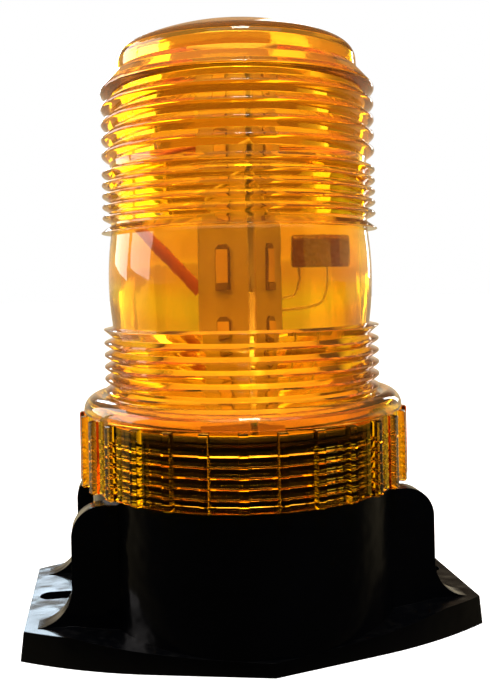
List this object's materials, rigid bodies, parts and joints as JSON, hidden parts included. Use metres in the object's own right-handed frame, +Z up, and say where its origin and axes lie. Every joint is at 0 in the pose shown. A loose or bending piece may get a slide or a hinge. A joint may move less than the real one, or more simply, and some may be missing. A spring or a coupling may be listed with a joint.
{
  "type": "warning beacon",
  "caption": "Amber warning beacon: ribbed screw-on lens over a four-sided LED tower, on a black two-slot base with driver electronics inside.",
  "frame": {"origin": "centre of the base's underside", "axes": "+Z up along the lens axis, +X along the long side of the base through both mounting slots, -Y towards the front face"},
  "size_m": [0.127, 0.0962, 0.1734],
  "materials": {
    "housing_black": "injection-moulded ABS, gloss black",
    "cover_black": "moulded ABS, satin",
    "rubber_black": "moulded rubber",
    "screw_steel": "zinc plated",
    "grey_plastic": "moulded nylon",
    "amber_lens": "clear amber polycarbonate",
    "white_plastic": "moulded, reflective white",
    "green_laminate": "glass-epoxy laminate with solder mask",
    "white_laminate": "glass-epoxy laminate",
    "tan_laminate": "bare laminate",
    "emitter_frame": "moulded emitter package",
    "emitter_phosphor": "phosphor-filled silicone",
    "green_plastic": "moulded nylon",
    "capacitor_sleeve": "printed sleeve left plain",
    "copper_wire": "enamelled copper winding",
    "ferrite": "sintered ferrite",
    "black_epoxy": "moulded epoxy",
    "brown_epoxy": "dipped epoxy",
    "tinned_wire": "tinned copper",
    "red_pvc": "PVC insulation",
    "black_pvc": "PVC insulation"
  },
  "bodies": {
    "base": {"base_housing": "housing_black", "bottom_cover": "cover_black", "cover_gasket": "rubber_black", "cover_screws": "screw_steel", "vent_plug": "grey_plastic", "cable_grommet": "rubber_black", "cable_clamp": "grey_plastic", "clamp_screws": "screw_steel", "reflector_disc": "white_plastic", "disc_screws": "screw_steel", "tower_foot": "green_laminate", "led_board_1": "white_laminate", "led_board_2": "white_laminate", "led_board_3": "white_laminate", "led_board_4": "white_laminate", "emitter_frames_1": "emitter_frame", "emitter_frames_2": "emitter_frame", "emitter_frames_3": "emitter_frame", "emitter_frames_4": "emitter_frame", "emitters_1": "emitter_phosphor", "emitters_2": "emitter_phosphor", "emitters_3": "emitter_phosphor", "emitters_4": "emitter_phosphor", "tower_ties": "tan_laminate", "tower_cap": "white_plastic", "driver_board": "green_laminate", "driver_screws": "screw_steel", "terminal_block": "green_plastic", "terminal_screws": "screw_steel", "storage_capacitor": "capacitor_sleeve", "choke_coil": "copper_wire", "choke_core": "ferrite", "switch_transistor": "black_epoxy", "control_chip": "black_epoxy", "chip_resistors": "black_epoxy", "film_capacitor": "brown_epoxy", "film_capacitor_legs": "tinned_wire", "jumper_lead": "red_pvc", "red_lead": "red_pvc", "black_lead": "black_pvc"},
    "seal_ring": {"lens_seal": "rubber_black"},
    "lens_cover": {"lens": "amber_lens"}
  },
  "joints": [
    {"name": "lens_lift", "type": "slide", "parent": "base", "child": "seal_ring", "axis": [0, 0, 1], "range_m": [0, 0.0163]},
    {"name": "lens_turn", "type": "hinge", "parent": "seal_ring", "child": "lens_cover", "pos_m": [0, 0, 0.05], "axis": [0, 0, 1], "range_deg": [0, 2160]}
  ],
  "couplings": [
    {"joint": "lens_lift", "follows": "lens_turn", "m_per_rad": 0.00042972}
  ]
}
